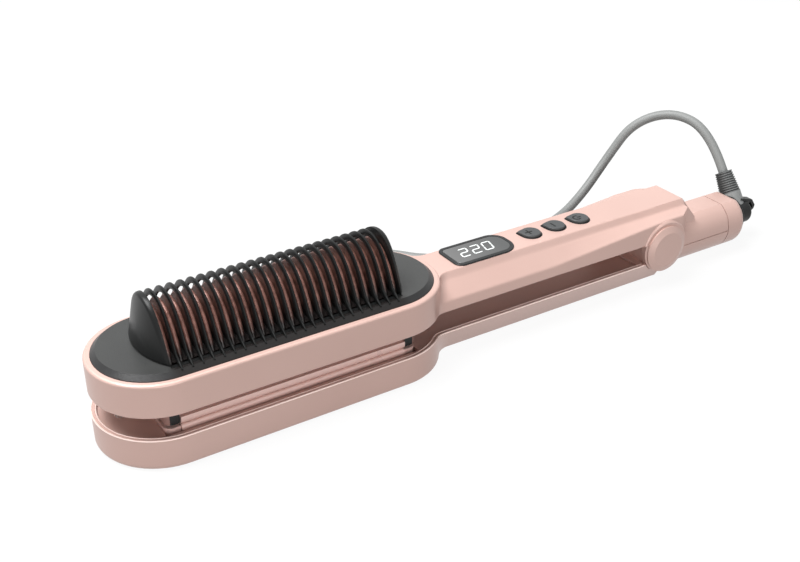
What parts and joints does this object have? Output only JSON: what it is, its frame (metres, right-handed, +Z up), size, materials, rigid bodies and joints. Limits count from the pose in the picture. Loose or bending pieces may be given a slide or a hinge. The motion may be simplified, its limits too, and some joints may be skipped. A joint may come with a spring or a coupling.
{
  "type": "hair straightener",
  "caption": "Heated straightening comb on the upper arm of a flat iron: hinged arms with heated plates, display, push buttons and a swivel cord outlet.",
  "frame": {"origin": "on the table, under the middle of the tool's length from the comb head's tip to the hanging loop's end, with the free cord and plug left out", "axes": "+X from the comb head to the cord outlet, +Z up off the table; +Y is the far side in the picture"},
  "size_m": [0.3223, 0.1018, 0.0559],
  "materials": {
    "rose_paint": "satin metallic paint",
    "black_plastic": "satin",
    "comb_metal": "copper-brown coating, satin",
    "plate_coating": "ceramic coating, satin",
    "display_glass": "smoked, polished",
    "grey_plastic": "satin",
    "dark_rubber": "matt",
    "cord_grey": "matt",
    "steel": "plain",
    "pin_metal": "nickel plate",
    "ceramic": "fired",
    "mica": "matt sheet",
    "board_green": "solder mask",
    "switch_black": "moulded",
    "inner_white": "moulded"
  },
  "bodies": {
    "lower_arm": {"lower_shell": "rose_paint", "lower_cover": "rose_paint", "lower_carrier": "black_plastic", "plate_springs": "steel", "lower_cover_screws": "steel", "cord_lead": "cord_grey", "cord_hank": "cord_grey", "cord_tail": "cord_grey", "hank_tie": "dark_rubber", "plug_body": "cord_grey", "plug_pins": "pin_metal"},
    "lower_plate": {"lower_plate": "plate_coating", "lower_heater": "ceramic"},
    "upper_arm": {"upper_shell": "rose_paint", "collar_cover": "rose_paint", "end_cap": "rose_paint", "upper_cover": "rose_paint", "near_disc": "rose_paint", "far_disc": "rose_paint", "comb_base": "black_plastic", "comb_blades": "black_plastic", "front_cap": "black_plastic", "rear_cap": "black_plastic", "upper_carrier": "black_plastic", "display_frame": "black_plastic", "heated_comb": "comb_metal", "comb_heater": "ceramic", "upper_heater": "ceramic", "heat_shield": "mica", "upper_plate": "plate_coating", "upper_cover_screws": "steel", "hinge_pin": "steel", "display_glass": "display_glass", "display_module": "inner_white", "control_board": "board_green", "board_supports": "black_plastic", "button_switches": "switch_black", "inner_lead": "cord_grey"},
    "swivel": {"swivel_base": "black_plastic", "cord_elbow": "grey_plastic", "strain_relief": "dark_rubber", "hang_loop": "dark_rubber"},
    "plus_button": {"plus_button": "grey_plastic"},
    "minus_button": {"minus_button": "grey_plastic"},
    "power_button": {"power_button": "grey_plastic"}
  },
  "joints": [
    {"name": "arm_hinge", "type": "hinge", "parent": "lower_arm", "child": "upper_arm", "pos_m": [0.087, 0, 0.0178], "axis": [0, 1, 0], "range_deg": [0, 24]},
    {"name": "plate_float", "type": "slide", "parent": "lower_arm", "child": "lower_plate", "axis": [0, 0, 1], "range_m": [-0.0008, 0], "stiffness_N_per_m": 800, "springref_m": 0.004, "deforming": ["plate_springs"]},
    {"name": "cord_swivel", "type": "hinge", "parent": "upper_arm", "child": "swivel", "pos_m": [0.1441, 0, 0.0122], "axis": [1, 0, 0], "range_deg": [-75, 90]},
    {"name": "plus_button_press", "type": "slide", "parent": "upper_arm", "child": "plus_button", "axis": [0, 0, 1], "range_m": [-0.0006, 0], "stiffness_N_per_m": 400, "springref_m": 0.0006},
    {"name": "minus_button_press", "type": "slide", "parent": "upper_arm", "child": "minus_button", "axis": [0, 0, 1], "range_m": [-0.0006, 0], "stiffness_N_per_m": 400, "springref_m": 0.0006},
    {"name": "power_button_press", "type": "slide", "parent": "upper_arm", "child": "power_button", "axis": [0, 0, 1], "range_m": [-0.0006, 0], "stiffness_N_per_m": 400, "springref_m": 0.0006}
  ]
}
